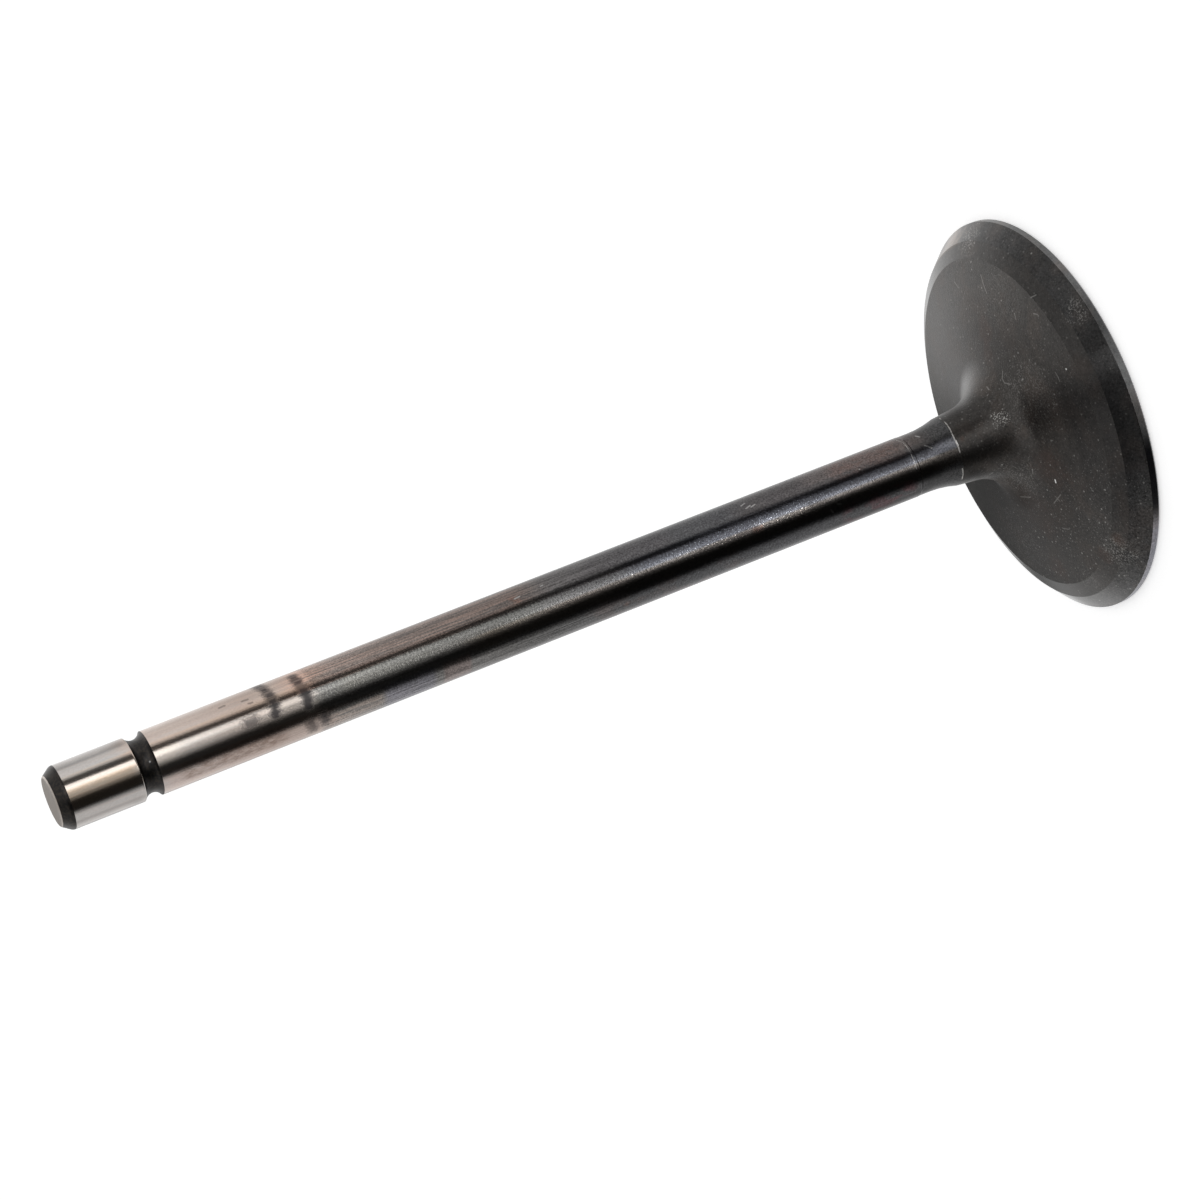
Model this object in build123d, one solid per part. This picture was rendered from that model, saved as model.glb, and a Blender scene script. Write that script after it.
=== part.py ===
from build123d import *
import math
import os

# An engine poppet valve, forged, turned and ground from one piece of steel.
# Millimetres. The flat combustion face lies on z = 0 and the stem points along +Z.

# Overall
overall_length = 136.2  # combustion face to tip face
head_diameter = 52.1  # across the margin
stem_diameter = 7.97  # ground stem, for an 8 mm guide

# Rim of the head, from the combustion face upwards
face_chamfer = 0.25  # broken edge round the combustion face
margin_height = 0.85  # plain cylindrical rim above that edge
seat_angle = 45.0  # from the plane of the head
seat_width = 2.85  # along the ground seat cone
back_cut_angle = 25.5  # shallower cone behind the seat
back_cut_width = 2.3

# Forged underhead
underhead_angle = 11.5  # shallow cone, from the plane of the head
underhead_radius = 6.3  # sweep from that cone into the neck
neck_taper = 5.7  # of the forged neck, each side, to the axis
neck_straight = 2.75  # length of that taper above the sweep

# Turned neck, where it meets the forged one in a faint ridge
ridge_rise = 0.52  # ridge over the ground stem, on the radius
flare_length = 3.9  # hollow flare from the ridge to the relief
relief_depth = 0.04  # turned relief below the ground stem, on the radius
relief_length = 1.7
relief_lead = 0.12  # cone that leads out of the relief on to the stem

# Keeper groove, one round bead
groove_radius = 1.25
groove_depth = 0.68
groove_from_tip = 11.4  # tip face to the middle of the groove
groove_edge_round = 0.25  # on the side of the tip

# Tip
tip_chamfer_rise = 1.25  # along the stem
tip_chamfer_depth = 0.9  # on the radius
tip_edge_round = 0.2

head_radius = head_diameter / 2
stem_radius = stem_diameter / 2


def step(start, angle, length):
    """The point that lies length away towards the axis, rising at angle to the head."""
    radius, height = start
    turn = math.radians(angle)
    return radius - length * math.cos(turn), height + length * math.sin(turn)


def rim_points():
    """Combustion face, broken edge, margin, seat and back cut."""
    margin_top = (head_radius, face_chamfer + margin_height)
    seat_end = step(margin_top, seat_angle, seat_width)
    back_cut_end = step(seat_end, back_cut_angle, back_cut_width)
    return [
        (0, 0),
        (head_radius - face_chamfer, 0),
        (head_radius, face_chamfer),
        margin_top,
        seat_end,
        back_cut_end,
    ]


def sweep_centre(back_cut_end):
    """Centre of the arc that touches both the underhead cone and the forged neck."""
    cone = math.radians(underhead_angle)
    taper = math.radians(neck_taper)
    neck_foot = stem_radius + ridge_rise + neck_straight * math.sin(taper)
    radius = neck_foot + underhead_radius * math.cos(taper)
    cone_run = back_cut_end[0] - (radius - underhead_radius * math.sin(cone))
    height = back_cut_end[1] + cone_run * math.tan(cone) + underhead_radius * math.cos(cone)
    return radius, height


def underhead(back_cut_end):
    """Underhead cone, the sweep into the neck and the forged neck up to the ridge."""
    sweep = CenterArc(
        sweep_centre(back_cut_end),
        underhead_radius,
        270 - underhead_angle,
        underhead_angle + neck_taper - 90,
    )
    taper = math.radians(neck_taper)
    neck_foot = sweep @ 1
    ridge = (stem_radius + ridge_rise, neck_foot.Y + neck_straight * math.cos(taper))
    return [Line(back_cut_end, sweep @ 0), sweep, Line(neck_foot, ridge)]


def turned_neck(ridge):
    """Hollow flare above the ridge and the shallow relief under the ground stem."""
    relief_radius = stem_radius - relief_depth
    flare_top = (relief_radius, ridge.Y + flare_length)
    relief_top = (relief_radius, flare_top[1] + relief_length)
    stem_foot = (stem_radius, relief_top[1] + relief_lead)
    flare = TangentArc(flare_top, ridge, tangent=(0, -1))
    return [flare, Polyline(flare_top, relief_top, stem_foot)]


def groove():
    """Round-bottomed groove that the collet halves grip, from its head side to its tip side."""
    half_turn = math.degrees(math.acos(1 - groove_depth / groove_radius))
    centre = (stem_radius - groove_depth + groove_radius, overall_length - groove_from_tip)
    return CenterArc(centre, groove_radius, 180 + half_turn, -2 * half_turn)


def tip_points():
    """Top of the land, the chamfer and the flat tip face."""
    return [
        (stem_radius, overall_length - tip_chamfer_rise),
        (stem_radius - tip_chamfer_depth, overall_length),
        (0, overall_length),
    ]


def corner(section, point):
    """The corner of the section at a radius and a height."""
    return section.vertices().sort_by_distance(Vertex(point[0], point[1], 0))[0]


def valve_section():
    """Half section of the valve, radius across and height up."""
    rim = rim_points()
    forged = underhead(rim[-1])
    neck = turned_neck(forged[-1] @ 1)
    bead = groove()
    tip = tip_points()
    outline = Curve() + [
        Polyline(*rim),
        *forged,
        *neck,
        Line(neck[-1] @ 1, bead @ 0),
        bead,
        Polyline(bead @ 1, *tip, rim[0]),
    ]
    section = make_face(outline)
    land_edge = bead @ 1
    section = fillet(corner(section, (land_edge.X, land_edge.Y)), groove_edge_round)
    for point in tip[:2]:
        section = fillet(corner(section, point), tip_edge_round)
    return section


def make_valve():
    return revolve(Plane.XZ * valve_section(), Axis.Z)


os.makedirs("parts", exist_ok=True)
valve = make_valve()
valve.label = "valve"
export_step(valve, "parts/valve.step")
print("valve volume, mm3:", round(valve.volume, 1))
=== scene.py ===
import math
import bpy
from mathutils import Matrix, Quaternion, Vector


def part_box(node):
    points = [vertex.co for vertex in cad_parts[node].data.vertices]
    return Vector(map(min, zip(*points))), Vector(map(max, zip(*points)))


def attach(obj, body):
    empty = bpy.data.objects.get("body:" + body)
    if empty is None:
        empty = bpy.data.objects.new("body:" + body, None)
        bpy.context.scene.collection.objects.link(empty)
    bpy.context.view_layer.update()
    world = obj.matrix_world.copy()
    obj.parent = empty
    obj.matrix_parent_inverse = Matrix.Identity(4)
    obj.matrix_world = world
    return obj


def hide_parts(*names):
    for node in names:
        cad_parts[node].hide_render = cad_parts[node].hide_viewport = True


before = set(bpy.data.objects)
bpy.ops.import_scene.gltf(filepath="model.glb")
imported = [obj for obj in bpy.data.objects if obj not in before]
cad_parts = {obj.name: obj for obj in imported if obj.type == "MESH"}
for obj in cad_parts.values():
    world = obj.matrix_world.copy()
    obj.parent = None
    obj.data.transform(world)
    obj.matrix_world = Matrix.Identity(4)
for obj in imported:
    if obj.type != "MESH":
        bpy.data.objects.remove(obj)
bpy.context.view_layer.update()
print("frame loaded:", sorted(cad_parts))

mm = 0.001  # sizes and heights on the valve are written in millimetres


# Shader maths: a socket that takes part in ordinary sums


class Wire:
    def __init__(self, tree, socket=None):
        self.tree = tree
        self.socket = socket

    def node(self, kind, settings=None, sockets=None, out=0):
        made = self.tree.nodes.new(kind)
        for name, value in (settings or {}).items():
            if name == "stops":
                setStops(made.color_ramp.elements, value)
            else:
                setattr(made, name, value)
        for name, value in (sockets or {}).items():
            if isinstance(value, Wire):
                self.tree.links.new(value.socket, made.inputs[name])
            else:
                made.inputs[name].default_value = value
        return Wire(self.tree, made.outputs[out] if made.outputs else None)

    def math(self, operation, *values):
        return self.node("ShaderNodeMath", {"operation": operation}, dict(enumerate(values)))

    def vector(self, operation, *values, out="Vector"):
        return self.node("ShaderNodeVectorMath", {"operation": operation}, dict(enumerate(values)), out)

    def __add__(self, other):
        return self.math("ADD", self, other)

    def __radd__(self, other):
        return self.math("ADD", other, self)

    def __sub__(self, other):
        return self.math("SUBTRACT", self, other)

    def __rsub__(self, other):
        return self.math("SUBTRACT", other, self)

    def __mul__(self, other):
        return self.math("MULTIPLY", self, other)

    def __rmul__(self, other):
        return self.math("MULTIPLY", other, self)

    def __truediv__(self, other):
        return self.math("DIVIDE", self, other)

    def __rtruediv__(self, other):
        return self.math("DIVIDE", other, self)


def setStops(elements, stops):
    while len(elements) < len(stops):
        elements.new(1.0)
    for element, (position, colour) in zip(elements, stops):
        element.position = position
        element.color = (*colour, 1.0)


def rise(value, low, high):  # 0 below low, 1 above high, smooth between them
    return value.node(
        "ShaderNodeMapRange",
        {"interpolation_type": "SMOOTHSTEP"},
        {"Value": value, "From Min": low, "From Max": high},
    )


def bell(value, low, high, soft):  # 1 from low to high, fading out over soft on each side
    return rise(value, low - soft, low) * (1 - rise(value, high, high + soft))


def blend(mask, under, over):  # one colour over another
    return mask.node(
        "ShaderNodeMix",
        {"data_type": "RGBA"},
        {0: mask, 6: under, 7: over},
        out=2,
    )


def scaled(vector, across, along):  # stretches a pattern along the valve or round it
    return vector.vector("MULTIPLY", vector, (across, across, along))


def noise(vector, scale=1.0, detail=2.0, roughness=0.55, shift=0.0):
    moved = vector.vector("ADD", vector, (shift, shift, shift))
    sockets = {"Vector": moved, "Scale": scale, "Detail": detail, "Roughness": roughness}
    return vector.node("ShaderNodeTexNoise", {}, sockets)


def times(mask, colour, factor):  # multiplies a colour where the mask is
    mixed = {"data_type": "RGBA", "blend_type": "MULTIPLY"}
    return mask.node("ShaderNodeMix", mixed, {0: mask, 6: colour, 7: (*factor, 1.0)}, out=2)


def newMaterial(name):
    material = bpy.data.materials.new(name)
    material.use_nodes = True
    material.node_tree.nodes.clear()
    return material, Wire(material.node_tree)


def onValve(start):  # the point on the valve in millimetres, and its three parts
    inMetres = start.node("ShaderNodeTexCoord", out="Object")
    spot = start.node("ShaderNodeVectorMath", {"operation": "SCALE"}, {0: inMetres, "Scale": 1 / mm})
    parts = [start.node("ShaderNodeSeparateXYZ", {}, {"Vector": spot}, out=axis) for axis in "XYZ"]
    return spot, *parts


def metal(start, colour, roughness, normal=None, metallic=1.0):
    sockets = {"Base Color": colour, "Roughness": roughness, "Metallic": metallic}
    if normal:
        sockets["Normal"] = normal
    surface = start.node("ShaderNodeBsdfPrincipled", {}, sockets)
    start.node("ShaderNodeOutputMaterial", {}, {"Surface": surface})


def bump(height, distance):
    return height.node("ShaderNodeBump", {}, {"Height": height, "Distance": distance * mm}, out="Normal")


# Camera

viewpoint = {
    "place": (0.0, -0.41577, 0.20085),
    "aim": (-0.00146, 0.0, 0.06481),
    "roll": -111.44,  # degrees, so that the standing valve lies across the frame
    "lens": 107.36,
    "sensor": 36.0,
    "nearest": 0.01,  # metres, the closest that it sees
}


def makeCamera():
    camera = bpy.data.objects.new("camera", bpy.data.cameras.new("camera"))
    bpy.context.scene.collection.objects.link(camera)
    place = Vector(viewpoint["place"])
    upright = (Vector(viewpoint["aim"]) - place).to_track_quat("-Z", "Y")
    camera.rotation_mode = "QUATERNION"
    camera.rotation_quaternion = upright @ Quaternion((0, 0, 1), math.radians(viewpoint["roll"]))
    camera.location = place
    camera.data.lens = viewpoint["lens"]
    camera.data.sensor_width = viewpoint["sensor"]
    camera.data.clip_start = viewpoint["nearest"]
    bpy.context.scene.camera = camera


frameSide = 1200  # pixels a side of the frame in which the places of single marks are given
dotLength = 0.01  # millimetres, a stretch shorter than this is a dot


def pixelSpot(pixel):  # the point of the valve, in millimetres, that lies under a pixel
    camera = bpy.context.scene.camera
    share = camera.data.sensor_width / camera.data.lens / frameSide
    way = Vector(((pixel[0] - frameSide / 2) * share, (frameSide / 2 - pixel[1]) * share, -1.0))
    way.rotate(camera.rotation_quaternion)
    hit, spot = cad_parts["valve"].ray_cast(camera.location, way)[:2]
    if not hit:
        raise ValueError(f"no steel under pixel {pixel}")
    return spot / mm


def fromStretch(spot, first, last):  # distance in millimetres from a straight stretch, or from a dot
    run = last - first
    away = spot.vector("SUBTRACT", spot, first)
    if run.length < dotLength:
        return away.vector("LENGTH", away, out="Value")
    share = away.vector("DOT_PRODUCT", away, run / run.length_squared, out="Value")
    share = share.node("ShaderNodeClamp", {}, {"Value": share})
    along = share.node("ShaderNodeVectorMath", {"operation": "SCALE"}, {0: run, "Scale": share})
    return away.vector("DISTANCE", away, along, out="Value")


def nearest(spot, strokes):  # distance from the nearest stroke, each a list of one or more pixels
    gap = None
    for stroke in strokes:
        ends = [pixelSpot(pixel) for pixel in stroke]
        for first, last in zip(ends, ends[1:] or ends):
            this = fromStretch(spot, first, last)
            gap = gap.math("MINIMUM", gap, this) if gap else this
    return gap


def drawn(spot, strokes, width, ragged=0.0, soft=0.5):  # 1 inside the strokes
    gap = nearest(spot, strokes)
    if ragged:
        gap = gap + (noise(spot, 3.0, 3.0) - 0.5) * ragged
    return 1 - rise(gap, width / 2 * (1 - soft), width / 2 * (1 + soft))


# Studio: soft light from all round, with a dark flag and two softboxes that the steel mirrors

studio = {
    "walls": 0.97,
    "backDark": (-175.0, -160.0),  # behind, to one side, the room is darker above the horizon
    "backDarkOver": (175.0, 179.5),  # and a little way over to the other side
    "backDarkTilt": (-18.0, -6.0, 34.0),  # begins, is darkest, has faded to its upper depth
    "backDarkDepth": (0.96, 0.36),
    "flag": (-82.0, -56.0, -27.0, 9.0),  # azimuths from the front: edge, dark, dark, edge
    "flagSlant": (9.0, 12.0, 15.5),  # its left edge leans out by this much between these depths
    "flagTop": (40.0, 75.0),
    "flagDepth": 0.982,
    "leftWall": (-145.0, -98.0, -80.0, -60.0),
    "leftWallDip": 0.22,
    "rightWall": (75.0, 95.0, 115.0, 150.0),
    "rightWallDip": 0.12,
    "frontDip": (-20.0, -5.0, 36.0, 60.0),  # below this depth the front is dimmer
    "frontDipDepth": (11.5, 15.0),
    "frontDipBy": 0.36,
    "fills": [  # brighter walls behind: azimuths, elevations, by how much
        ((100.0, 128.0, 170.0, 177.0), (-17.0, -7.0, 30.0, 48.0), 0.62),
        ((-160.0, -146.0, -132.0, -105.0), (-16.0, -6.0, 18.0, 38.0), 0.42),
    ],
    "gap": (29.0, 37.0, 49.0, 63.0),  # narrow dark gap beside the wide softbox
    "gapSlant": (5.0, 11.5, 15.5),
    "gapDepth": 0.93,
    "gapTop": (10.0, 30.0),
    "wideBox": (7.0, 16.0, 30.0, 34.0),
    "wideBoxPower": 1.15,
    "wideBoxTilt": (-23.0, -12.0),  # fades out between these elevations
    "lowBox": (-15.0, 0.0, 2.0, 19.0),
    "lowBoxPower": 2.2,
    "lowBoxTilt": (-27.0, -22.0, -20.2, -16.0),
    "hotTilt": (-22.4, -21.3, -20.9, -19.7),
    "hotPower": 7.0,
    "ceiling": 0.36,
    "ceilingTilt": (48.0, 62.0),
    "ceilingFront": (-0.2, 0.6),  # it is dimmed only in front of the valve
}


def window(value, edges):  # rises between the first two edges, falls between the last two
    return rise(value, edges[0], edges[1]) * (1 - rise(value, edges[2], edges[3]))


def makeStudio():
    world = bpy.data.worlds.new("studio")
    bpy.context.scene.world = world
    world.use_nodes = True
    world.node_tree.nodes.clear()
    start = Wire(world.node_tree)
    way = {"Vector": start.node("ShaderNodeTexCoord", out="Generated")}
    right = start.node("ShaderNodeSeparateXYZ", {}, way, out="X")
    back = start.node("ShaderNodeSeparateXYZ", {}, way, out="Y")
    up = start.node("ShaderNodeSeparateXYZ", {}, way, out="Z")
    azimuth = start.math("ARCTAN2", right, 0 - back) * math.degrees(1)
    tilt = start.math("ARCSINE", up) * math.degrees(1)
    depth = 0 - tilt

    lean, leanFrom, leanTo = studio["flagSlant"]
    left, leftDark, rightDark, rightEdge = studio["flag"]
    flag = rise(azimuth + lean * rise(depth, leanFrom, leanTo), left, leftDark)
    flag = flag * (1 - rise(azimuth, rightDark, rightEdge)) * studio["flagDepth"]
    flag = flag * (1 - rise(tilt, *studio["flagTop"]))
    lean, leanFrom, leanTo = studio["gapSlant"]
    gap = window(azimuth + lean * rise(depth, leanFrom, leanTo), studio["gap"])
    gap = gap * studio["gapDepth"] * (1 - rise(tilt, *studio["gapTop"]))
    dips = window(azimuth, studio["leftWall"]) * studio["leftWallDip"]
    dips = dips + window(azimuth, studio["rightWall"]) * studio["rightWallDip"]
    front = rise(0 - back, *studio["ceilingFront"])
    ceiling = rise(tilt, *studio["ceilingTilt"]) * front * (1 - studio["ceiling"])
    wide = window(azimuth, studio["wideBox"]) * rise(tilt, *studio["wideBoxTilt"]) * studio["wideBoxPower"]
    low = window(tilt, studio["lowBoxTilt"]) * studio["lowBoxPower"]
    low = (low + window(tilt, studio["hotTilt"]) * studio["hotPower"]) * window(azimuth, studio["lowBox"])
    begins, darkest, faded = studio["backDarkTilt"]
    deepest, upper = studio["backDarkDepth"]
    dark = rise(tilt, begins, darkest) * (deepest - rise(tilt, darkest, faded) * (deepest - upper))
    dips = dips + dark * (1 - rise(azimuth, *studio["backDark"]) + rise(azimuth, *studio["backDarkOver"]))
    dim = window(azimuth, studio["frontDip"]) * rise(depth, *studio["frontDipDepth"])
    dips = dips + dim * studio["frontDipBy"]
    fill = 1.0
    for sides, tilts, amount in studio["fills"]:
        fill = fill + window(azimuth, sides) * window(tilt, tilts) * amount
    light = (studio["walls"] * fill * (1 - dips) + wide) * (1 - flag) * (1 - gap) * (1 - ceiling) + low

    seen = start.node("ShaderNodeLightPath", out="Is Camera Ray")
    strength = light * (1 - seen) + seen
    glow = start.node("ShaderNodeBackground", {}, {"Strength": strength})
    start.node("ShaderNodeOutputWorld", {}, {"Surface": glow})
    print("studio lit")


floorPlan = {"reach": 3.0, "white": 0.9, "glow": 0.47}  # metres from the axis, colour, light of its own


def makeFloor():
    reach = floorPlan["reach"]
    corners = [(-reach, -reach, 0), (reach, -reach, 0), (reach, reach, 0), (-reach, reach, 0)]
    mesh = bpy.data.meshes.new("floor")
    mesh.from_pydata(corners, [], [(0, 1, 2, 3)])
    floor = bpy.data.objects.new("floor", mesh)
    bpy.context.scene.collection.objects.link(floor)
    material, start = newMaterial("whitePaper")
    white = floorPlan["white"]
    matt = start.node("ShaderNodeBsdfDiffuse", {}, {"Color": (white, white, white, 1.0)})
    glow = start.node("ShaderNodeEmission", {}, {"Strength": floorPlan["glow"]})
    paper = start.node("ShaderNodeAddShader", {}, {0: matt, 1: glow})
    below = start.node("ShaderNodeNewGeometry", out="Backfacing")
    clear = start.node("ShaderNodeBsdfTransparent")
    shown = start.node("ShaderNodeMixShader", {}, {0: below, 1: paper, 2: clear})
    start.node("ShaderNodeOutputMaterial", {}, {"Surface": shown})
    mesh.materials.append(material)
    floor.visible_glossy = False  # the steel mirrors the studio, as if the valve were held up in it
    floor.visible_diffuse = False
    floor.visible_shadow = False
    return floor


# The valve's outline, turned about the axis

valveForm = {
    "stemRadius": 3.985,
    "faceChamfer": 0.25,
    "marginHeight": 0.85,
    "seatAngle": 45.0,
    "seatWidth": 2.85,
    "backCutAngle": 25.5,
    "backCutWidth": 2.3,
    "underheadAngle": 11.5,
    "sweepRadius": 6.3,
    "neckTaper": 5.7,
    "neckStraight": 2.75,
    "ridgeRise": 0.52,
    "flareLength": 3.9,
    "reliefDepth": 0.04,
    "reliefLength": 1.7,
    "reliefLead": 0.12,
    "grooveRadius": 1.25,
    "grooveDepth": 0.68,
    "grooveFromTip": 11.4,
    "grooveHeadEdge": 0.05,
    "grooveTipEdge": 0.25,
    "tipChamferRise": 1.25,
    "tipChamferDepth": 0.9,
    "tipEdge": 0.8,
    "faceEdge": 0.35,
    "backCutOff": 0.25,  # how far the ground rings lie off the axis, and towards where
    "underheadOff": 0.4,
    "offWay": (0.7, 0.7),
    "worn": 0.09,  # radius that handling has left on the machined corners
    "cutEndWorn": 0.36,  # softer where the back cut meets the forging
    "reliefWorn": 0.03,
    "flareFit": 0.999,  # of the flare's radius, so that its arc ends short of the ridge
    "segments": 384,
    "longestStep": 3.0,  # between two rings on a straight stretch
    "arcStep": 6.0,  # degrees between two rings on an arc
}


def turned(vector, angle):  # a direction turned in the plane of the section
    cosine, sine = math.cos(angle), math.sin(angle)
    return Vector((vector.x * cosine - vector.y * sine, vector.x * sine + vector.y * cosine))


def arcRings(centre, radius, first, last, hollow):
    # first and last are the outward normals at the ends of the arc
    sweep = math.atan2(first.x * last.y - first.y * last.x, first.dot(last))
    steps = max(2, math.ceil(abs(math.degrees(sweep)) / valveForm["arcStep"]))
    rings = []
    for step in range(steps + 1):
        normal = turned(first, sweep * step / steps)
        rings.append((centre + normal * (-radius if hollow else radius), normal))
    return rings


def cornerRings(before, at, after, radius):
    comes, goes = (at - before).normalized(), (after - at).normalized()
    first, last = Vector((comes.y, -comes.x)), Vector((goes.y, -goes.x))
    turn = math.atan2(comes.x * goes.y - comes.y * goes.x, comes.dot(goes))
    start = at - comes * radius * math.tan(abs(turn) / 2)
    hollow = turn < 0
    centre = start + first * (radius if hollow else -radius)
    return arcRings(centre, radius, first, last, hollow)


def stepFrom(start, angle, length):
    turn = math.radians(angle)
    return start + Vector((-math.cos(turn), math.sin(turn))) * length


def headPoints(headRadius):  # the corners of the section, from the face up to the guided stem
    form = valveForm
    stem = form["stemRadius"]
    rimFoot = Vector((headRadius, form["faceChamfer"]))
    rimTop = rimFoot + Vector((0, form["marginHeight"]))
    seatEnd = stepFrom(rimTop, form["seatAngle"], form["seatWidth"])
    cutEnd = stepFrom(seatEnd, form["backCutAngle"], form["backCutWidth"])
    cone, taper = math.radians(form["underheadAngle"]), math.radians(form["neckTaper"])
    ridgeRadius = stem + form["ridgeRise"]
    # the sweep touches the cone and the tapered neck, whose top is the ridge
    neckFootRadius = ridgeRadius + form["neckStraight"] * math.sin(taper)
    sweepTangent = form["sweepRadius"] * math.tan((math.pi / 2 - cone - taper) / 2)
    cornerRadius = neckFootRadius + sweepTangent * math.sin(taper)
    coneWay = Vector((-math.cos(cone), math.sin(cone)))
    sweepCorner = cutEnd + coneWay * ((cutEnd.x - cornerRadius) / math.cos(cone))
    neckWay = Vector((-math.sin(taper), math.cos(taper)))
    ridge = sweepCorner + neckWay * (sweepTangent + form["neckStraight"])
    relief = stem - form["reliefDepth"]
    flareTop = Vector((relief, ridge.y + form["flareLength"]))
    reliefTop = flareTop + Vector((0, form["reliefLength"]))
    landFoot = Vector((stem, reliefTop.y + form["reliefLead"]))
    return rimFoot, rimTop, seatEnd, cutEnd, sweepCorner, ridge, flareTop, reliefTop, landFoot


def headCorners(headRadius):  # (point, radius of its rounding, finish of the band beyond it)
    form = valveForm
    worn = form["worn"]
    points = headPoints(headRadius)
    rimFoot, rimTop, seatEnd, cutEnd, sweepCorner, ridge, flareTop, reliefTop, landFoot = points
    fall = ridge.x - flareTop.x
    flareRadius = (fall ** 2 + form["flareLength"] ** 2) / (2 * fall)
    flareCorner = flareTop - Vector((0, flareRadius * math.tan(math.atan(fall / form["flareLength"]))))
    return [
        (Vector((0, 0)), 0, "face"),
        (Vector((headRadius - form["faceChamfer"], 0)), worn, "rim"),
        (rimFoot, worn, "rim"),
        (rimTop, worn, "seat"),
        (seatEnd, worn, "backCut"),
        (cutEnd, form["cutEndWorn"], "underhead"),
        (sweepCorner, form["sweepRadius"], "underhead"),
        (ridge, worn, "stem"),
        (flareCorner, flareRadius * form["flareFit"], "stem"),
        (reliefTop, form["reliefWorn"], "stem"),
        (landFoot, form["reliefWorn"], "stem"),
    ]


def grooveRings(middle):
    form = valveForm
    stem, radius = form["stemRadius"], form["grooveRadius"]
    centre = Vector((stem - form["grooveDepth"] + radius, middle))
    plain = Vector((1, 0))
    ends = []
    for edge, side in ((form["grooveHeadEdge"], -1), (form["grooveTipEdge"], 1)):
        inset = centre.x - (stem - edge)
        away = math.sqrt((radius + edge) ** 2 - inset ** 2)
        roundCentre = Vector((stem - edge, middle + side * away))
        ends.append((roundCentre, edge, (centre - roundCentre).normalized()))
    (headCentre, headEdge, headNormal), (tipCentre, tipEdge, tipNormal) = ends
    return [
        (arcRings(headCentre, headEdge, plain, headNormal, False), "groove"),
        (arcRings(centre, radius, headNormal, tipNormal, True)[1:], "groove"),
        (arcRings(tipCentre, tipEdge, tipNormal, plain, False)[1:], "stem"),
    ]


def tipCorners(length):
    form = valveForm
    stem = form["stemRadius"]
    return [
        (Vector((stem, length - form["tipChamferRise"])), form["tipEdge"], "tipChamfer"),
        (Vector((stem - form["tipChamferDepth"], length)), form["faceEdge"], "tipFace"),
        (Vector((0, length)), 0, "tipFace"),
    ]


def outlineRings(headRadius, length):
    # each ring is (point, normal, finish of the band that follows it)
    middle = length - valveForm["grooveFromTip"]
    groove = grooveRings(middle)
    lower, upper = headCorners(headRadius), tipCorners(length)
    lowerEnd, upperStart = groove[0][0][0][0], groove[-1][0][-1][0]
    rings = [(lower[0][0], Vector((0, -1)), "face")]
    rings += roundedRings(lower, lowerEnd)
    for arc, finish in groove:
        rings += [(point, normal, finish) for point, normal in arc]
    rings += roundedRings([(upperStart, 0, "stem"), *upper[:-1]], upper[-1][0])
    rings.append((upper[-1][0], Vector((0, 1)), "tipFace"))
    return filled(rings)


def roundedRings(corners, end):
    points = [corner[0] for corner in corners] + [end]
    rings = []
    for index in range(1, len(corners)):
        finish = corners[index][2]
        arc = cornerRings(points[index - 1], points[index], points[index + 1], corners[index][1])
        rings += [(point, normal, finish) for point, normal in arc]
    return rings


def filled(rings):  # adds rings so that no band is longer than the longest step
    full = [rings[0]]
    for before, after in zip(rings, rings[1:]):
        run = after[0] - before[0]
        steps = max(1, math.ceil(run.length / valveForm["longestStep"]))
        for step in range(1, steps):
            normal = before[1] if before[0].x else after[1]
            full.append((before[0] + run * step / steps, normal, before[2]))
        full.append(after)
    return full


def offCentre(point, headRadius):  # the seat's grinding and the forging don't quite share one centre
    form = valveForm
    rimTop, seatEnd, cutEnd, sweepCorner, ridge = headPoints(headRadius)[1:6]
    if point.y < rimTop.y + form["worn"] or point.y > ridge.y:
        return 0, 0
    cut, forging = form["backCutOff"], form["underheadOff"]
    steps = [(rimTop.x, 0), (seatEnd.x, cut), (cutEnd.x, forging), (sweepCorner.x, 0)]
    for (outer, outerOff), (inner, innerOff) in zip(steps, steps[1:]):
        if inner <= point.x <= outer:
            off = innerOff + (outerOff - innerOff) * (point.x - inner) / (outer - inner)
            return form["offWay"][0] * off, form["offWay"][1] * off
    return 0, 0


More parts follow.
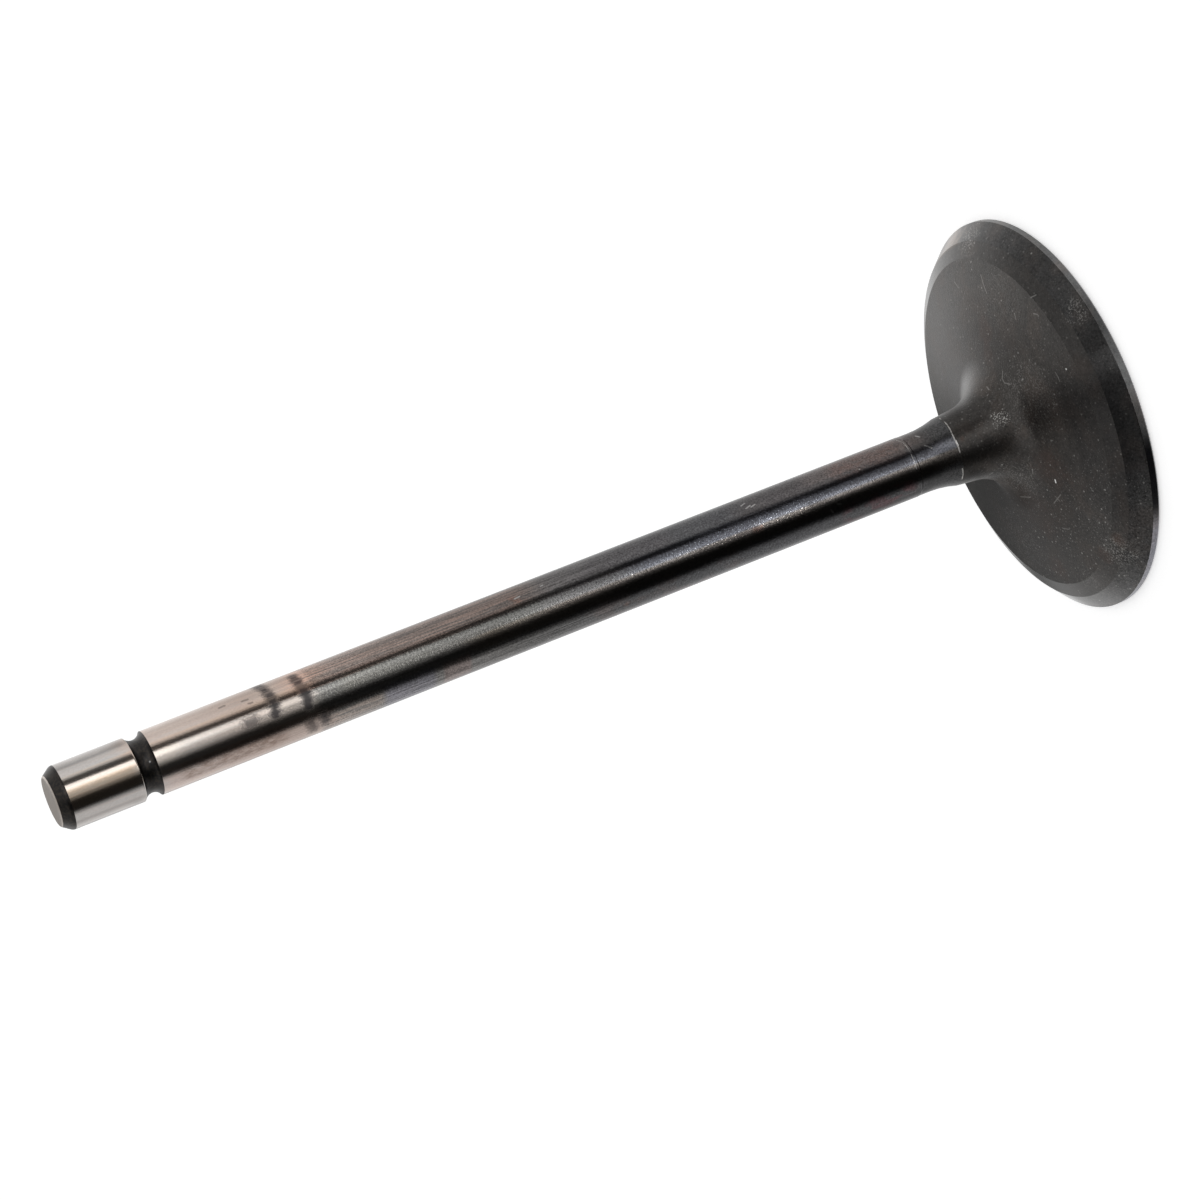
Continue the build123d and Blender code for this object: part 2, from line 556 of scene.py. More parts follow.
def makeValve():
    low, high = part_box("valve")
    headRadius, length = high.x / mm, (high.z - low.z) / mm
    rings = outlineRings(headRadius, length)
    count = valveForm["segments"]
    turns = [2 * math.pi * index / count for index in range(count)]
    points, normals = [(0, 0, low.z)], [(0, 0, -1)]
    for point, normal, finish in rings[1:-1]:
        offX, offY = offCentre(point, headRadius)
        for turn in turns:
            around = (math.cos(turn), math.sin(turn))
            x, y = around[0] * point.x + offX, around[1] * point.x + offY
            points.append((x * mm, y * mm, low.z + point.y * mm))
            normals.append((around[0] * normal.x, around[1] * normal.x, normal.y))
    points.append((0, 0, high.z))
    normals.append((0, 0, 1))

    faces, finishes = [], []
    for index in range(count):
        faces.append((0, 1 + (index + 1) % count, 1 + index))
        finishes.append(rings[0][2])
    for ring in range(len(rings) - 3):
        foot = 1 + ring * count
        for index in range(count):
            beside = (index + 1) % count
            faces.append((foot + index, foot + beside, foot + count + beside, foot + count + index))
            finishes.append(rings[ring + 1][2])
    foot, top = len(points) - 1 - count, len(points) - 1
    for index in range(count):
        faces.append((foot + index, foot + (index + 1) % count, top))
        finishes.append("tipFace")

    mesh = bpy.data.meshes.new("engineValve")
    mesh.from_pydata(points, [], faces)
    names = sorted(set(finishes))
    for name in names:
        mesh.materials.append(makeFinish(name))
    mesh.polygons.foreach_set("material_index", [names.index(finish) for finish in finishes])
    mesh.shade_smooth()
    mesh.normals_split_custom_set_from_vertices(normals)
    mesh.update()
    valve = bpy.data.objects.new("engineValve", mesh)
    bpy.context.scene.collection.objects.link(valve)
    print("valve turned:", len(rings), "rings,", len(faces), "faces")
    return valve


# Finishes

# Bare ground steel towards the tip, and below it the steel that running hot has darkened.
# Heights run up the valve in millimetres; sides run across its front from -1 to 1.
stemLook = {
    "bare": (0.70, 0.672, 0.648, 1.0),
    "bareFrom": (102.8, 103.9),
    "bareShade": (0.84, 0.80, 0.77),  # of the bare steel next to the darkened part
    "bareShadeHeights": (122.0, 108.0),
    "bareRagged": 3.0,  # how far, in millimetres, the streaks push the edge of the bare steel about
    "bareGrain": 0.3,
    "front": (-0.40, 0.34, 0.08),  # sides of the plain front and its fade; the flanks beyond it are lined
    "frontLines": 0.3,  # share of the lines' contrast that the front keeps
    "coats": [
        (0.000, (0.074, 0.073, 0.074)),
        (0.146, (0.080, 0.079, 0.080)),
        (0.152, (0.104, 0.103, 0.105)),
        (0.300, (0.112, 0.112, 0.117)),
        (0.450, (0.120, 0.120, 0.123)),
        (0.580, (0.190, 0.184, 0.179)),
        (0.700, (0.275, 0.265, 0.255)),
        (0.760, (0.360, 0.342, 0.325)),
    ],
    "roughness": 0.14,
    "worked": (66.0, 101.0),  # where the guide has dulled it
    "workedRoughness": 0.03,
    "workedLines": 0.55,  # contrast of the fine lines along it there, and elsewhere
    "lines": 0.12,
    "bareLines": 0.12,
    "sand": 2.9,  # contrast of the fine grain in the dark skin
    "workedSand": 2.1,
    "dull": (36.0, 18.0),  # it gets duller between these heights
    "neckRoughness": 0.14,
    "neck": (14.0, 22.0),
    "grainy": (64.0, 121.0),  # where the surface is finely pitted, and a shorter stretch nearer the head
    "grainyToo": (36.0, 50.0),
    "tintFade": 0.2,  # a tint fades out over this share of its height, and over this much at most
    "longestFade": 6.0,
    "sideFade": 0.1,
    "bandCore": 0.24,  # half width of the smoky bands, solid and to their edge
    "bandEdge": 1.12,
    "bandRagged": (1.0, 0.9, 0.6),  # by the streaks, the mottle and the sand
    "bandGaps": (0.42, 0.56, 0.3),  # the streaks that show through a band on the flanks, and how much
    "smokeDepth": 0.88,
    "ringFade": 0.5,
    "ringGaps": (0.40, 0.56),
    "ringFrayed": 2.0,
    "stipple": 0.012,  # depth of the marks across the dark part, of the rub along it and of the grain
    "rub": 0.005,
    "pitting": 0.009,
    "pittingParts": (0.4, 0.6, 1.5),  # everywhere, on the grainy stretch and on the shorter one
    "barePlain": 0.85,  # share of the marks across it that the bare steel lacks
    "upperRoughness": 0.05,  # more towards the tip
    "markRoughness": 0.25,  # more on smoke and on worn edges
    "smoke": (0.030, 0.029, 0.034, 1.0),
    "rust": (1.20, 0.97, 0.90),
    "scratched": (0.46, 0.45, 0.44, 1.0),
}
stemPatterns = {  # where each pattern of a tint begins and is full
    "streaks": (0.36, 0.64),
    "patches": (0.42, 0.62),
    "mottle": (0.24, 0.76),
}
combEdges = (0.38, 0.62)
evenBase, evenSpread = 0.55, 0.9  # an even tint still varies a little with the patches
# colour of the rubbed edges, which also paints the highlight along them
wornSteelAndShine = (0.66, 0.64, 0.61, 1.0)
stemTintsAndPaintedLight = [  # tints of the steel, each even unless it names a pattern; some entries are painted highlights and painted shade, marked below
    {"heights": (76, 103), "sides": (0.34, 1.2), "factor": (1.15, 0.98, 0.91), "pattern": "streaks"},
    {"heights": (76, 103), "sides": (0.34, 1.2), "factor": (1.08, 0.98, 0.945)},
    # painted shade: darker on the front where the highlight falls on the dark steel, the second also a
    # little greener
    {"heights": (80, 101), "sides": (-0.26, 0.06), "factor": (0.78, 0.77, 0.76)},
    {"heights": (76, 101), "sides": (-0.1, 0.34), "factor": (0.90, 0.92, 0.90)},
    # painted highlight: the colour is brighter where the highlight is hottest
    {"heights": (37, 43), "sides": (-0.14, 0.06), "factor": (1.50, 1.50, 1.48)},
    # painted shade, partly a colour change: darker and a little cooler where the highlight falls on the
    # bare steel
    {"heights": (102, 119), "sides": (-0.2, 0.34), "factor": (0.84, 0.86, 0.89)},
    {"heights": (96, 102), "sides": (-1.2, -0.45), "factor": (1.12, 0.99, 0.92), "pattern": "streaks"},
    {"heights": (89, 94.5), "sides": (-1.2, -0.45), "factor": (0.96, 0.97, 1.10)},
    {"heights": (84, 87), "sides": (-1.2, -0.45), "factor": (1.14, 1.00, 0.98)},
    {"heights": (56, 71), "sides": (0.3, 1.2), "factor": (1.03, 0.99, 0.99)},
    {"heights": (17, 58), "sides": (0.06, 0.36), "factor": (0.95, 0.98, 1.08)},
    {"heights": (17, 80), "sides": (-0.4, -0.06), "factor": (1.10, 1.00, 0.90)},
    {"heights": (20, 43), "sides": (0.36, 1.2), "factor": (1.06, 0.99, 0.96)},
    # painted light and painted shadow next to the head: lighter along one edge of the stem, darker along
    # the other
    {"heights": (20, 34), "sides": (0.62, 1.2), "factor": (1.38, 1.30, 1.26)},
    {"heights": (20, 33), "sides": (-1.2, -0.9), "factor": (0.50, 0.50, 0.50)},
    {"heights": (22.5, 31), "sides": (0.36, 1.2), "factor": (1.20, 0.97, 0.90), "pattern": "mottle"},
    {"heights": (22.5, 31), "sides": (-1.2, -0.45), "factor": (1.36, 0.90, 0.93), "pattern": "patches"},
    {"heights": (48, 66), "sides": (-1.2, -0.45), "factor": (1.10, 1.00, 0.97), "pattern": "patches"},
    {"heights": (109, 120), "sides": (-0.80, -0.42), "factor": (0.60, 0.54, 0.51), "pattern": "mottle"},
    {"heights": (104, 122), "sides": (-1.2, -0.4), "factor": (1.02, 0.91, 0.87)},
    {"heights": (104, 125), "sides": (0.36, 1.2), "factor": (1.10, 0.99, 0.93)},
    {"heights": (112, 136), "sides": (-1.2, 1.2), "factor": (0.92, 0.88, 0.86), "pattern": "streaks"},
    {"heights": (106, 136), "sides": (-0.4, 0.5), "factor": (1.03, 0.98, 0.92)},
    # painted highlight: the flare of the neck is brighter where the highlight falls
    {"heights": (15, 21), "sides": (-0.15, 0.3), "factor": (1.45, 1.45, 1.45)},
    # painted shade: darker along both edges of the stem nearer the tip
    {"heights": (106, 126), "sides": (0.88, 1.2), "factor": (0.74, 0.74, 0.74)},
    {"heights": (106, 126), "sides": (-1.2, -0.92), "factor": (0.84, 0.84, 0.84)},
    {"heights": (127, 136), "sides": (0.82, 1.2), "factor": (0.58, 0.58, 0.58)},
    {"heights": (127, 136), "sides": (-1.2, -0.85), "factor": (0.70, 0.70, 0.70)},
    # warmer steel, and painted shade beside the peak of the highlight on the land
    {"heights": (127, 136), "sides": (-0.4, 0.1), "factor": (0.84, 0.77, 0.68)},
]
stemMarks = {
    "dark": [
        [(256.0, 686.8), (264.7, 690.5), (271.5, 698.5), (275.0, 708.0), (275.8, 715.0)],
        [(292.5, 677.0), (297.4, 682.5), (303.5, 690.0), (306.5, 697.0), (308.5, 706.0)],
    ],
    "guideRings": [(104.4, 105.1), (108.5, 109.3)],  # heights of the two smoky rings round the back
    "dashes": [
        [(242.0, 701.5), (247.5, 699.5)],
        [(249.0, 703.5), (252.0, 702.5)],
        [(219.0, 708.0), (224.0, 706.0)],
    ],
    "dashWidth": 0.3,
    "dashRagged": 0.3,
    "dashDepth": 0.5,
    "ringsBehind": (0.5, 1.5),  # how far back the two rings begin, and are full
    "smudges": [
        [(248.5, 723.5), (254.5, 721.5)],
        [(311.0, 723.0), (314.2, 729.0)],
        [(323.5, 716.5), (325.5, 721.0)],
    ],
    "smudgeWidth": 1.35,
    "smudgeEdge": (1.5, 0.9),  # how ragged and how soft
    "smudgeDepth": 0.75,
    "light": [
        [(632.0, 574.6)],
        [(627.4, 587.3)],
        [(540.5, 586.3), (542.5, 585.3)],
        [(514.5, 599.0), (519.5, 596.4)],
        [(741.0, 506.0), (744.5, 503.5)],
        [(746.0, 508.5), (750.0, 505.5)],
        [(751.0, 507.0), (754.8, 504.5)],
        [(831.0, 510.0), (833.0, 512.6)],
        [(837.8, 504.2), (841.0, 503.9)],
        [(859.5, 469.4)],
        [(915.5, 436.0), (919.5, 437.0)],
        [(924.9, 445.7), (931.7, 448.0)],
        [(548.2, 638.9)],
    ],
    "lightWidth": 0.19,
    "lightRagged": 0.1,
    "lightDepth": 0.7,
    "glints": (36.0, 53.0, -0.16, 0.26),  # heights and sides of painted glints, where the highlight is painted as bright points in the colour
    "glintFade": (5, 0.15),
    "glintFront": (-1.5, 0.5),  # they are gone beyond the axis
    "glintDots": (3.4, 0.25),  # to a millimetre, and their size
    "glintFactor": (3.3, 3.3, 3.2),
    "rust": [[(755.5, 530.5), (761.5, 528.7)], [(627.0, 604.0)], [(512.0, 599.0), (517.0, 600.5)]],
    "rustWidth": 0.7,
    "rustEdge": (0.8, 0.9),
    # the step and the crest of the neck, drawn bright: partly wear, partly a painted highlight
    "step": [
        [(896.5, 440.5), (902.7, 442.4), (906.5, 446.5), (910.3, 452.6), (912.6, 458.0), (914.9, 462.6)],
        [(914.9, 462.6), (916.4, 468.7)],
    ],
    "crest": [
        [(939.5, 418.5), (946.3, 423.8), (950.1, 429.6), (953.9, 438.0), (955.5, 441.1), (958.5, 447.2)],
        [(958.5, 447.2), (960.0, 452.6)],
        [(962.4, 468.7), (963.1, 473.3), (962.0, 479.0)],
    ],
    "stepWidth": 0.11,
    "stepShine": 0.5,
    "crestWidth": 0.15,
    "crestShine": 0.9,
    "crestRing": (-0.03, 0.03, 0.07),  # heights from the ridge and the fade, for the far side
    "stepRing": (-0.12, -0.02, 0.06),  # and from the foot of the ground stem
    "edgesBehind": (0.3, 1.0),
    "edgeGaps": (0.42, 0.56),
    "edgeUneven": (0.40, 0.60),
    "edgeLeast": 0.45,  # the shine where an edge is least rubbed
}


def stemFinish():
    material, start = newMaterial("groundStem")
    spot, across, deep, height = onValve(start)
    side = across / valveForm["stemRadius"]
    flanks = 1 - bell(side, *stemLook["front"])
    streaks = noise(scaled(spot, 4.6, 0.10), 1.0, 3.0, 0.7)
    stipple = noise(scaled(spot, 1.5, 3.6), 1.0, 2.0, shift=7.0)
    sand = noise(spot, 4.6, 3.0, 0.7, shift=2.0)
    patches = noise(scaled(spot, 0.55, 0.33), 1.0, 4.0, 0.6, shift=3.0)
    mottle = noise(scaled(spot, 1.6, 0.8), 1.0, 4.0, 0.7, shift=5.0)
    grains = {"streaks": streaks, "patches": patches, "mottle": mottle}
    patterns = {name: rise(grains[name], *edges) for name, edges in stemPatterns.items()}
    patterns["even"] = evenBase + patches * evenSpread
    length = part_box("valve")[1].z / mm
    coat = height.node("ShaderNodeValToRGB", {"stops": stemLook["coats"]}, {0: height / length})
    worked = bell(height, *stemLook["worked"], soft=5)
    combed = rise(streaks, *combEdges) - 0.5
    lines = combed * (stemLook["lines"] + worked * (stemLook["workedLines"] - stemLook["lines"]))
    sanded = (sand - 0.5) * (stemLook["sand"] + worked * (stemLook["workedSand"] - stemLook["sand"]))
    kept = stemLook["frontLines"]
    tone = 1 + lines * (kept + flanks * (1 - kept)) + sanded
    coat = coat.vector("MULTIPLY", coat, tone)
    shade = rise(height, *reversed(stemLook["bareShadeHeights"]))
    bare = times(1 - shade, stemLook["bare"], stemLook["bareShade"])
    bareTone = 1 + combed * stemLook["bareLines"] + (sand - 0.5) * stemLook["bareGrain"]
    bare = bare.vector("MULTIPLY", bare, bareTone)
    isBare = rise(height + (streaks - 0.5) * stemLook["bareRagged"], *stemLook["bareFrom"])
    colour = blend(isBare, coat, bare)
    # tints of the steel, together with painted highlights and painted shade set by height and side
    for place in stemTintsAndPaintedLight:
        low, high = place["heights"]
        soft = min((high - low) * stemLook["tintFade"], stemLook["longestFade"])
        mask = bell(height, low, high, soft) * bell(side, *place["sides"], soft=stemLook["sideFade"])
        colour = times(mask * patterns[place.get("pattern", "even")], colour, place["factor"])

    smoky = nearest(spot, stemMarks["dark"])
    for pattern, ragged in zip((streaks, mottle, sand), stemLook["bandRagged"]):
        smoky = smoky + (pattern - 0.5) * ragged
    dark = 1 - rise(smoky, stemLook["bandCore"], stemLook["bandEdge"])
    begins, full, gaps = stemLook["bandGaps"]
    dark = dark * (1 - flanks * (1 - rise(streaks, begins, full)) * gaps)
    smudges = drawn(spot, stemMarks["smudges"], stemMarks["smudgeWidth"], *stemMarks["smudgeEdge"])
    dark = dark + smudges * stemMarks["smudgeDepth"]
    frayed = height + streaks * stemLook["ringFrayed"]
    lowRing, highRing = [bell(frayed, *ring, stemLook["ringFade"]) for ring in stemMarks["guideRings"]]
    behind = rise(deep, *stemMarks["ringsBehind"]) * rise(patches, *stemLook["ringGaps"])
    behind = behind * (highRing + lowRing)
    dashes = drawn(spot, stemMarks["dashes"], stemMarks["dashWidth"], stemMarks["dashRagged"])
    smoke = dark + behind + dashes * stemMarks["dashDepth"]
    colour = blend(smoke * stemLook["smokeDepth"], colour, stemLook["smoke"])
    # painted glints: the colour is brightened in points across the front of the highlight
    low, high, left, right = stemMarks["glints"]
    fade, sideFade = stemMarks["glintFade"]
    glints = dots(spot, *stemMarks["glintDots"])
    glints = glints * bell(height, low, high, fade) * bell(side, left, right, sideFade)
    glints = glints * (1 - rise(deep, *stemMarks["glintFront"]))
    colour = times(glints, colour, stemMarks["glintFactor"])
    rust = drawn(spot, stemMarks["rust"], stemMarks["rustWidth"], *stemMarks["rustEdge"])
    colour = times(rust, colour, stemLook["rust"])
    light = drawn(spot, stemMarks["light"], stemMarks["lightWidth"], stemMarks["lightRagged"])
    edges = wornEdgesAndShine(spot, deep, height)
    colour = blend(light * stemMarks["lightDepth"], colour, stemLook["scratched"])
    # worn edges, partly a painted highlight along the step and the crest
    colour = blend(edges, colour, wornSteelAndShine)

    neck = 1 - rise(height, *stemLook["neck"])
    dull = rise(height, *reversed(stemLook["dull"]))
    roughness = stemLook["roughness"] + worked * stemLook["workedRoughness"]
    roughness = roughness + (1 - dull) * stemLook["upperRoughness"] + neck * stemLook["neckRoughness"]
    roughness = roughness + (dark + edges) * stemLook["markRoughness"]
    marked = 1 - isBare * stemLook["barePlain"]
    relief = stipple * marked * stemLook["stipple"] + streaks * stemLook["rub"]
    everywhere, upper, lower = stemLook["pittingParts"]
    grainy = bell(height, *stemLook["grainy"], soft=5) * upper
    grainy = grainy + bell(height, *stemLook["grainyToo"], soft=4) * lower
    relief = relief + sand * (everywhere + grainy) * stemLook["pitting"]
    metal(start, colour, roughness, bump(relief, 1.0))
    return material


def wornEdgesAndShine(spot, deep, height):  # bright where the step and the crest of the neck have been rubbed: partly worn bare steel, partly a painted highlight along the edges
    points = headPoints(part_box("valve")[1].x / mm)
    ridge, landFoot = points[5], points[8]
    breaks = noise(spot, 0.45, 3.0, shift=11.0)
    behind = rise(deep, *stemMarks["edgesBehind"]) * rise(breaks, *stemMarks["edgeGaps"])
    low, high, fade = stemMarks["crestRing"]
    crestRing = bell(height, ridge.y + low, ridge.y + high, fade) * behind
    low, high, fade = stemMarks["stepRing"]
    stepRing = bell(height, landFoot.y + low, landFoot.y + high, fade) * behind
    crest = drawn(spot, stemMarks["crest"], stemMarks["crestWidth"], ragged=0.12)
    step = drawn(spot, stemMarks["step"], stemMarks["stepWidth"], ragged=0.10)
    least = stemMarks["edgeLeast"]
    uneven = least + rise(noise(spot, 2.2, 2.0, shift=5.0), *stemMarks["edgeUneven"]) * (1 - least)
    crestShine = (crest + crestRing) * uneven * stemMarks["crestShine"]
    return crestShine + (step + stepRing) * uneven * stemMarks["stepShine"]


# The head: one oxide skin, smoother where it has been ground
headLooks = {
    "underhead": {
        "colour": (0.054, 0.0500, 0.0470, 1.0),
        "metallic": 0.84,
        "roughness": 0.31,
        "grain": 0.026,
        "mottle": 0.50,
        "specks": 0.60,
    },
    "backCut": {
        "colour": (0.050, 0.0475, 0.0455, 1.0),
        "metallic": 0.94,
        "roughness": 0.17,
        "grain": 0.006,
        "mottle": 0.38,
        "specks": 0.32,
    },
    "seat": {
        "colour": (0.052, 0.0510, 0.0505, 1.0),
        "metallic": 0.94,
        "roughness": 0.11,
        "grain": 0.003,
        "mottle": 0.60,
        "specks": 0.36,
    },
    "rim": {
        "colour": (0.16, 0.16, 0.16, 1.0),
        "paintedShadeSide": (-15.0, -9.0, 3.0),  # across, the stretch of the rim painted dark as shade, and its fade
        "paintedShadeFactor": (0.10, 0.10, 0.12),
        # painted reflection: beyond this, across, the rim is painted lighter and bluer
        "paintedLightSide": (-19.0, -15.5),
        "paintedLightFactor": (2.1, 2.1, 2.35),
        "metallic": 0.62,
        "roughness": 0.30,
        "grain": 0.004,
        "mottle": 0.45,
        "specks": 0.0,
    },
}
headMarks = {
    "specks": [
        [(966.7, 236.5)], [(969.4, 235.5)], [(971.0, 262.0)], [(972.0, 269.5)], [(1031.5, 253.5)],
        [(1001.4, 300.6)], [(1018.0, 352.8)], [(1065.8, 369.5)], [(1024.0, 406.5)], [(1022.8, 379.1)],
        [(1054.2, 394.4)], [(1056.5, 404.5)], [(1057.0, 414.5)], [(1048.8, 405.5)], [(1002.1, 464.9)],
        [(1001.9, 497.8)], [(1027.4, 521.5)], [(1038.0, 537.4)], [(1004.4, 536.8)], [(1087.0, 556.5)],
        [(1091.0, 550.5)], [(1115.3, 468.0)], [(1137.0, 557.0)], [(941.7, 379.1)], [(975.0, 243.5)],
    ],
    # bright specks; the last stroke is a painted highlight where the crest of the neck catches the light
    "bright": [[(1055.0, 480.2), (1055.6, 482.6)], [(1065.9, 369.2)], [(955.6, 441.0), (957.6, 445.4)]],
    "scratches": [
        [(981.0, 275.0), (983.5, 284.0), (987.0, 293.5)],
        [(954.5, 281.5), (959.3, 288.0)],
        [(1002.6, 371.5), (1002.2, 378.4), (1004.4, 383.0), (1009.8, 384.2)],
        [(1055.2, 372.5), (1057.6, 376.8), (1059.6, 381.4)],
        [(1053.8, 503.4), (1060.4, 494.8)],
        [(1055.0, 496.5), (1059.8, 501.5)],
        [(1020.5, 496.8), (1030.5, 497.3)],
        [(1062.5, 528.6), (1069.0, 529.4)],
        [(1010.9, 526.5), (1011.8, 529.5)],
        [(937.8, 371.5), (939.0, 374.8)],
        [(941.2, 372.6), (942.6, 375.3)],
        [(986.8, 386.8), (989.1, 389.8)],
        [(1014.4, 313.3), (1016.0, 319.4)],
        [(1030.6, 297.6), (1036.0, 295.0)],
        [(1033.3, 313.6), (1037.5, 314.6)],
        [(1050.4, 440.2), (1053.0, 440.9)],
        [(1032.0, 469.4), (1032.8, 474.0)],
        [(1117.5, 567.5), (1121.0, 573.0)],
        [(1112.5, 572.0), (1116.5, 570.5)],
    ],
    "width": 0.15,
    "ragged": 0.08,
    "stains": [
        ((1052.0, 470.0), 3.6),
        ((1040.0, 515.0), 4.6),
        ((1012.0, 530.0), 3.0),
        ((1058.0, 568.0), 2.2),
        ((1117.0, 540.0), 1.3),
        ((988.0, 353.0), 1.6),
        ((962.0, 438.5), 0.5),
        ((985.0, 330.0), 2.2),
        ((1104.0, 556.0), 1.6),
    ],
    "stainColour": (1.14, 0.97, 0.92),
    # a rougher patch on the lower fillet, whose darker colour is partly soot, partly painted shade under
    # the neck
    "dull": ((1008.0, 486.0), 4.6),
    "dullAndShadedColour": (0.80, 0.72, 0.66),
    "dullRoughness": 0.35,
    "innerShade": (7.5, 10.5, 13.0, 20.0),  # between these radii the skin is darker and browner
    "innerColour": (0.68, 0.65, 0.63),
    "litAndShadedSectors": [  # painted light and shade, lighter or darker toward each direction round the head: direction, spread from and to, radii, factor
        {"toward": -160, "spread": (62, 25), "radii": (4.4, 24.0), "factor": (0.50, 0.49, 0.48)},
        {"toward": 163, "spread": (20, 8), "radii": (12.0, 24.0), "factor": (1.22, 1.20, 1.14)},
        {"toward": 4, "spread": (34, 12), "radii": (7.5, 14.5), "factor": (1.45, 1.45, 1.45)},
        {"toward": 105, "spread": (60, 30), "radii": (9.5, 13.0), "factor": (0.86, 0.86, 0.86)},
        {"toward": -18, "spread": (34, 12), "radii": (17.5, 24.0), "factor": (0.72, 0.72, 0.73)},
        {"toward": -98, "spread": (52, 22), "radii": (8.0, 24.0), "factor": (0.80, 0.78, 0.76)},
    ],
    "shades": [((974.0, 476.5), 1.9, (0.45, 0.45, 0.45)), ((989.0, 476.5), 2.0, (0.45, 0.45, 0.45))],
    # a warm haze on the outer edge of the seat, partly a painted sheen where it catches the light
    "hazeAndSheen": ((945.0, 262.0), 6.0),
    "hazeFrom": (23.8, 24.6),
    "hazeColour": (0.42, 0.31, 0.235, 1.0),
    "hazeDepth": 0.32,
    "tone": (1.6, 1.6, 3.2),  # how much the clouds, the dapple and the grain vary the skin
    "dustyGrain": 2.6,  # more of the grain on the dusty side
    "cloudColour": (1.10, 0.99, 0.93),
    "cloudEdges": (0.45, 0.62),
    "cloudDepth": 0.6,
    "roughnessParts": (0.12, 0.10),  # varied by the grain and the clouds
    "paleColour": (0.33, 0.32, 0.305, 1.0),  # of dust, specks and scratches
    "brightColour": (0.85, 0.85, 0.83, 1.0),
    "dustSide": (-15.0, -3.0),  # across, where the dust lies thickest
    "dustShare": (0.65, 0.7),  # everywhere, and more on that side
    "dustDots": (1.0, 0.18),  # to a millimetre, and their size
    "fineDots": (2.3, 0.24),
    "fineDepth": 0.5,
    "dustGaps": (0.34, 0.58),
    "powderEdges": (0.54, 0.61),
    "speckWidth": 1.6,  # of a scratch's width
    "brightWidth": 1.5,
    "scratchDepth": 0.38,
    "speckDepth": 0.55,
    "powder": [  # places where pale dust clings, how far it reaches and how dense it is
        ((1000.4, 418.2), 1.25, 1.2),
        ((1076.0, 311.0), 2.0, 0.42),
        ((969.0, 240.0), 2.4, 0.55),
        ((1000.0, 300.0), 5.0, 0.12),
        ((1030.0, 400.0), 6.0, 0.26),
        ((1012.0, 478.0), 4.5, 0.24),
        ((1020.0, 540.0), 6.0, 0.32),
        ((1118.0, 552.0), 3.2, 0.50),
        ((1090.0, 582.0), 2.4, 0.20),
    ],
}


blobEdges = (0.35, 1.15)  # shares of its radius within which a patch is full, and beyond which it is gone
dotCore = 0.4  # of a dot's size, the part that is solid


def blob(spot, pixel, radius, ragged=0.6):  # a soft round patch with an uneven edge
    gap = fromStretch(spot, pixelSpot(pixel), pixelSpot(pixel)) / radius
    return 1 - rise(gap + (noise(spot, 0.9, 3.0, shift=2.0) - 0.5) * ragged * 2, *blobEdges)


def dots(spot, scale, size):  # specks scattered over the surface, that many to a millimetre
    centres = spot.node("ShaderNodeTexVoronoi", {"feature": "F1"}, {"Vector": spot, "Scale": scale})
    return 1 - rise(centres, size * dotCore, size)


